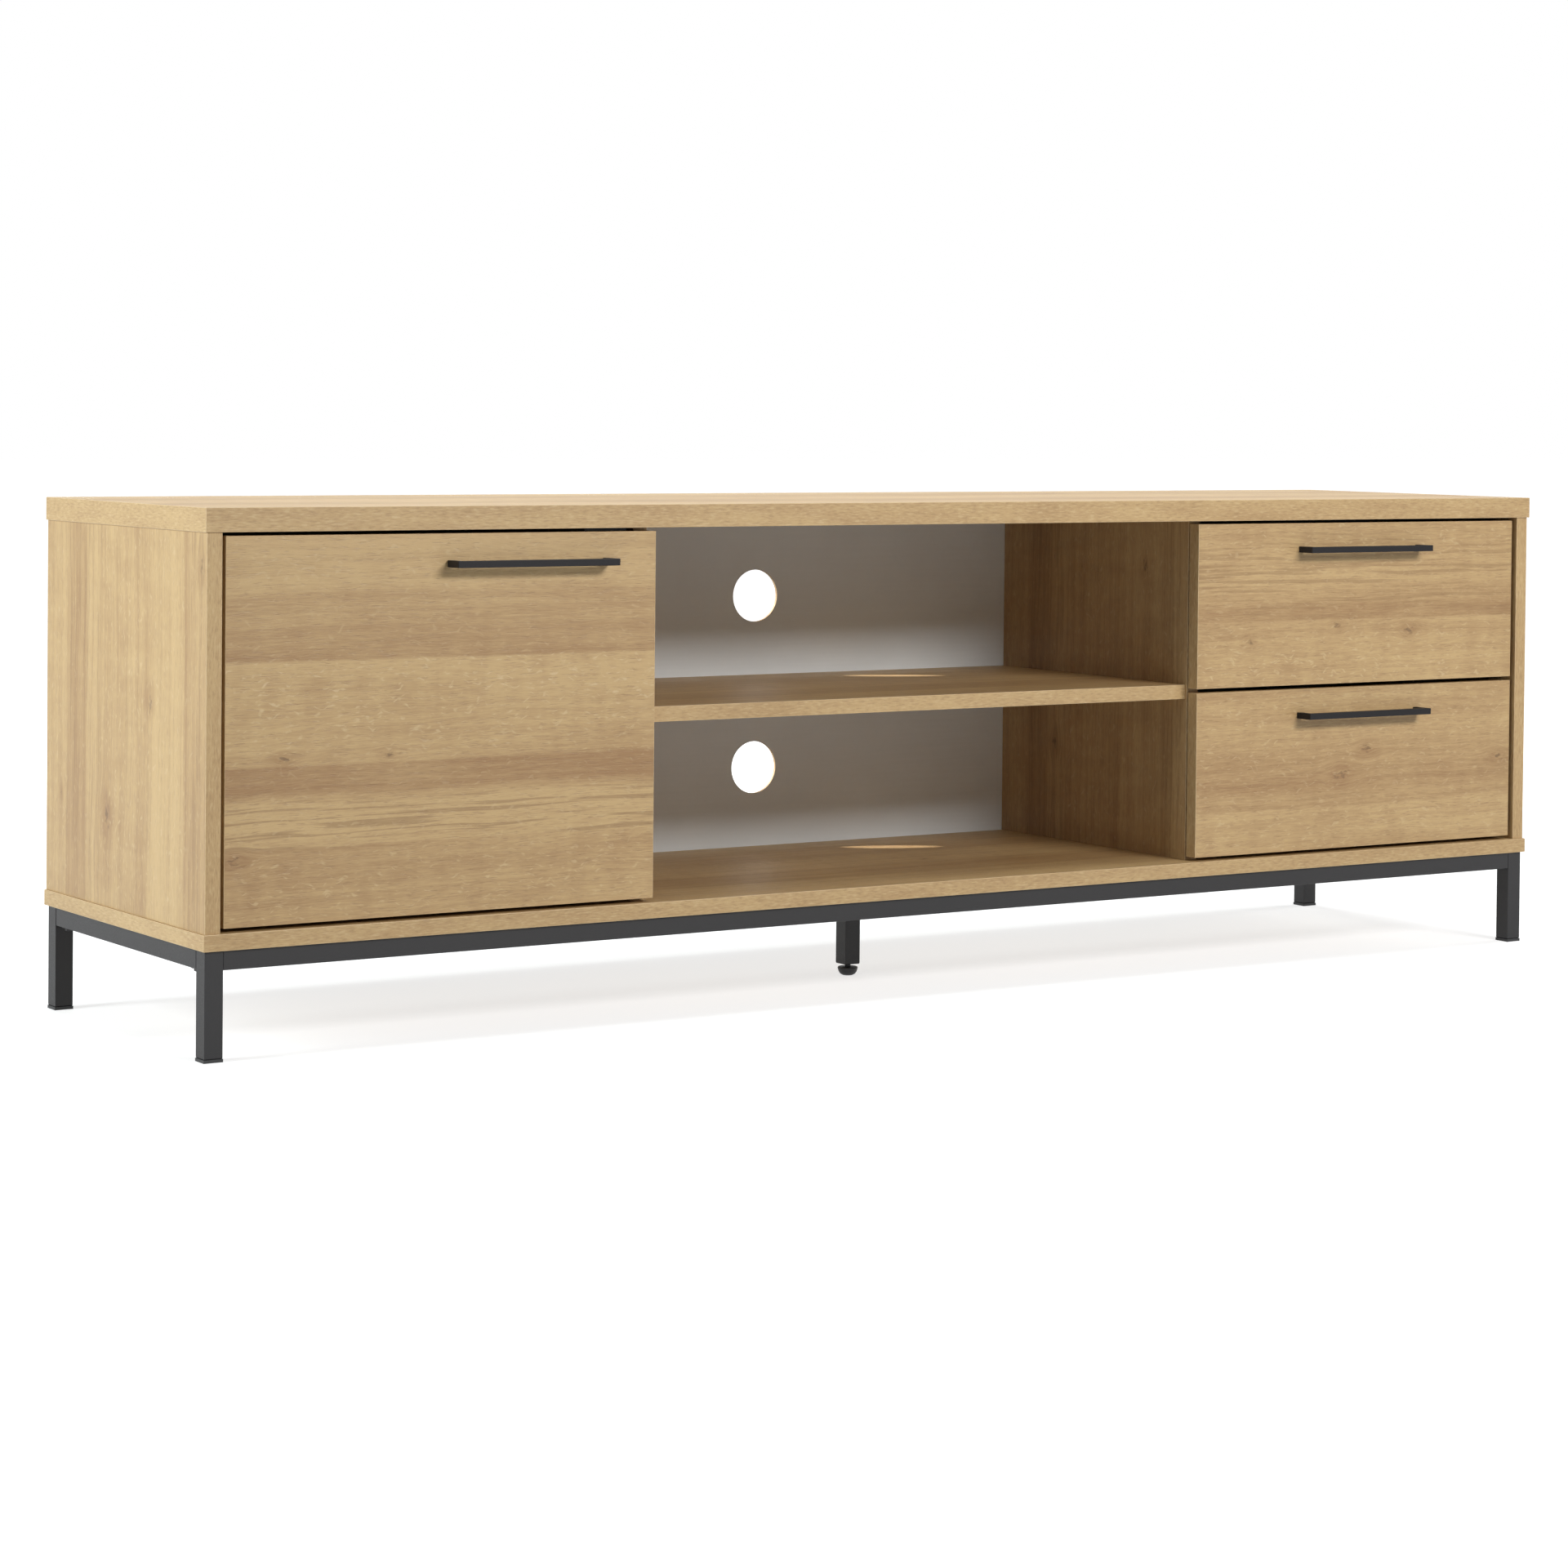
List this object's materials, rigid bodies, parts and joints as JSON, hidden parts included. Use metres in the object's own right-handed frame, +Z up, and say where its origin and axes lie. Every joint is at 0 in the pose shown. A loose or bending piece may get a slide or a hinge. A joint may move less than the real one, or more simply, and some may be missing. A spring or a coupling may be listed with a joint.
{
  "type": "tv stand",
  "caption": "Low television stand in oak-look board with a hinged door, open bays with a shelf and cable holes, handled drawers and a slim square-tube steel frame.",
  "frame": {"origin": "middle of the whole stand's footprint, handles included, on the floor", "axes": "+X to the right as seen from the front, +Y from the front to the back, +Z up"},
  "size_m": [1.6, 0.387, 0.495],
  "materials": {
    "oak_laminate": "light natural oak laminate, satin, with matching edge band",
    "back_board": "white painted fibreboard, matt, raw brown at the cut edges",
    "drawer_liner": "pale melamine-faced board, satin",
    "frame_coat": "charcoal fine-texture powder coat",
    "handle_coat": "matt black powder coat",
    "nickel_plate": "bright nickel plate",
    "zinc_plate": "clear zinc plated sheet",
    "black_plastic": "moulded black plastic"
  },
  "bodies": {
    "carcass": {"top_panel": "oak_laminate", "bottom_panel": "oak_laminate", "side_panel_left": "oak_laminate", "side_panel_right": "oak_laminate", "partition_left": "oak_laminate", "partition_right": "oak_laminate", "centre_shelf": "oak_laminate", "back_panel": "back_board", "rail_front": "frame_coat", "rail_back": "frame_coat", "rail_left": "frame_coat", "rail_right": "frame_coat", "crossbar_centre": "frame_coat", "leg_front_left": "frame_coat", "leg_front_right": "frame_coat", "leg_back_left": "frame_coat", "leg_back_right": "frame_coat", "leg_centre": "frame_coat", "leg_cap_front_left": "black_plastic", "leg_cap_front_right": "black_plastic", "leg_cap_back_left": "black_plastic", "leg_cap_back_right": "black_plastic", "threaded_plug": "black_plastic", "hinge_arm_lower": "nickel_plate", "hinge_arm_upper": "nickel_plate", "hinge_plate_lower": "nickel_plate", "hinge_plate_upper": "nickel_plate", "magnetic_catch": "black_plastic", "lower_slide_outer_left": "zinc_plate", "lower_slide_outer_right": "zinc_plate", "upper_slide_outer_left": "zinc_plate", "upper_slide_outer_right": "zinc_plate"},
    "door": {"door_panel": "oak_laminate", "door_handle": "handle_coat", "hinge_cup_lower": "nickel_plate", "hinge_cup_upper": "nickel_plate", "strike_plate": "zinc_plate"},
    "lower_drawer": {"lower_drawer_front": "oak_laminate", "lower_drawer_side_left": "drawer_liner", "lower_drawer_side_right": "drawer_liner", "lower_drawer_back": "drawer_liner", "lower_drawer_bottom": "drawer_liner", "lower_drawer_handle": "handle_coat", "lower_slide_inner_left": "zinc_plate", "lower_slide_inner_right": "zinc_plate"},
    "lower_ball_cages": {"lower_ball_cage_left": "zinc_plate", "lower_ball_cage_right": "zinc_plate"},
    "upper_drawer": {"upper_drawer_front": "oak_laminate", "upper_drawer_side_left": "drawer_liner", "upper_drawer_side_right": "drawer_liner", "upper_drawer_back": "drawer_liner", "upper_drawer_bottom": "drawer_liner", "upper_drawer_handle": "handle_coat", "upper_slide_inner_left": "zinc_plate", "upper_slide_inner_right": "zinc_plate"},
    "upper_ball_cages": {"upper_ball_cage_left": "zinc_plate", "upper_ball_cage_right": "zinc_plate"},
    "foot": {"levelling_foot": "black_plastic"}
  },
  "joints": [
    {"name": "door_hinge", "type": "hinge", "parent": "carcass", "child": "door", "pos_m": [-0.7625, -0.1635, 0.295], "axis": [0, 0, -1], "range_deg": [0, 95]},
    {"name": "lower_drawer_slide", "type": "slide", "parent": "carcass", "child": "lower_drawer", "axis": [0, -1, 0], "range_m": [0, 0.22]},
    {"name": "lower_cage_slide", "type": "slide", "parent": "carcass", "child": "lower_ball_cages", "axis": [0, -1, 0], "range_m": [0, 0.11]},
    {"name": "upper_drawer_slide", "type": "slide", "parent": "carcass", "child": "upper_drawer", "axis": [0, -1, 0], "range_m": [0, 0.22]},
    {"name": "upper_cage_slide", "type": "slide", "parent": "carcass", "child": "upper_ball_cages", "axis": [0, -1, 0], "range_m": [0, 0.11]},
    {"name": "levelling_foot_height", "type": "slide", "parent": "carcass", "child": "foot", "axis": [0, 0, -1], "range_m": [-0.002, 0.008]}
  ],
  "couplings": [
    {"joint": "lower_cage_slide", "follows": "lower_drawer_slide", "ratio": 0.5},
    {"joint": "upper_cage_slide", "follows": "upper_drawer_slide", "ratio": 0.5}
  ]
}
